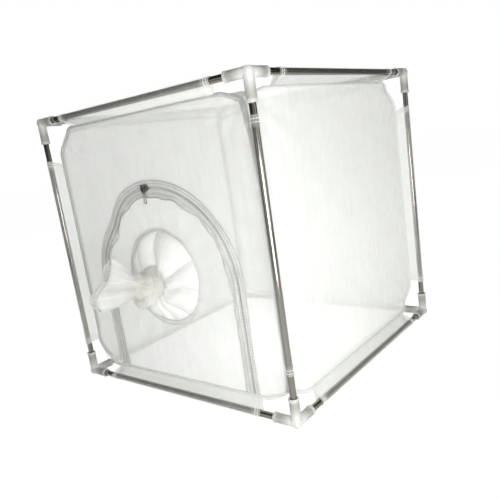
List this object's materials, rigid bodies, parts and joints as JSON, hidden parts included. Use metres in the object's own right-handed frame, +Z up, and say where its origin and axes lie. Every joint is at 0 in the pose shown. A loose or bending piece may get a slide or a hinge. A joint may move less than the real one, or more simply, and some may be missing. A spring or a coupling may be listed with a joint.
{
  "type": "butterfly habitat",
  "caption": "Cube mesh cage for rearing butterflies: steel tubes in moulded corner connectors, a hung mesh bag, an arched zip door and a tied hand sleeve.",
  "frame": {"origin": "on the ground, in the middle of the whole footprint, hand sleeve included", "axes": "+Z up; the door and its sleeve face -Y; +X to the right of someone facing the door"},
  "size_m": [0.3, 0.3707, 0.3],
  "materials": {
    "connector_nylon": "satin",
    "rod_steel": "polished",
    "tunnel_mesh": "fine net, two layers",
    "bag_mesh": "fine net",
    "sleeve_mesh": "fine net",
    "zip_tape": "woven tape",
    "zip_teeth": "nylon coil",
    "binding": "sewn binding",
    "slider_metal": "dark nickel"
  },
  "bodies": {
    "cage": {"connector_bottom_front_left": "connector_nylon", "connector_bottom_front_right": "connector_nylon", "connector_bottom_back_left": "connector_nylon", "connector_bottom_back_right": "connector_nylon", "connector_top_front_left": "connector_nylon", "connector_top_front_right": "connector_nylon", "connector_top_back_left": "connector_nylon", "connector_top_back_right": "connector_nylon", "rod_bottom_front": "rod_steel", "rod_bottom_back": "rod_steel", "rod_top_front": "rod_steel", "rod_top_back": "rod_steel", "rod_bottom_left": "rod_steel", "rod_bottom_right": "rod_steel", "rod_top_left": "rod_steel", "rod_top_right": "rod_steel", "rod_front_left": "rod_steel", "rod_front_right": "rod_steel", "rod_back_left": "rod_steel", "rod_back_right": "rod_steel", "tunnel_bottom_front": "tunnel_mesh", "tunnel_bottom_back": "tunnel_mesh", "tunnel_top_front": "tunnel_mesh", "tunnel_top_back": "tunnel_mesh", "tunnel_bottom_left": "tunnel_mesh", "tunnel_bottom_right": "tunnel_mesh", "tunnel_top_left": "tunnel_mesh", "tunnel_top_right": "tunnel_mesh", "tunnel_front_left": "tunnel_mesh", "tunnel_front_right": "tunnel_mesh", "tunnel_back_left": "tunnel_mesh", "tunnel_back_right": "tunnel_mesh", "top_panel": "bag_mesh", "floor_panel": "bag_mesh", "left_panel": "bag_mesh", "right_panel": "bag_mesh", "back_panel": "bag_mesh", "front_panel": "bag_mesh", "frame_tape": "zip_tape", "frame_teeth": "zip_teeth"},
    "door": {"door_flap": "bag_mesh", "door_tape": "zip_tape", "door_teeth_left": "zip_teeth", "door_teeth_right": "zip_teeth", "sleeve_ring": "binding", "hand_sleeve": "sleeve_mesh", "sleeve_hem": "binding"},
    "slider": {"zip_slider": "slider_metal"},
    "pull": {"zip_pull": "slider_metal"}
  },
  "joints": [
    {"name": "door_fold", "type": "hinge", "parent": "cage", "child": "door", "pos_m": [0, -0.10032, 0.01635], "axis": [-1, 0, 0], "range_deg": [0, 88]},
    {"name": "zip_travel", "type": "hinge", "parent": "cage", "child": "slider", "pos_m": [0, -0.10032, 0.11925], "axis": [0, 1, 0], "range_deg": [0, 88]},
    {"name": "pull_swing", "type": "hinge", "parent": "slider", "child": "pull", "pos_m": [-0.00583, -0.10358, 0.21457], "axis": [-1, 0, 0], "range_deg": [0, 160]}
  ],
  "couplings": [
    {"joint": "zip_travel", "follows": "door_fold", "ratio": 1}
  ]
}
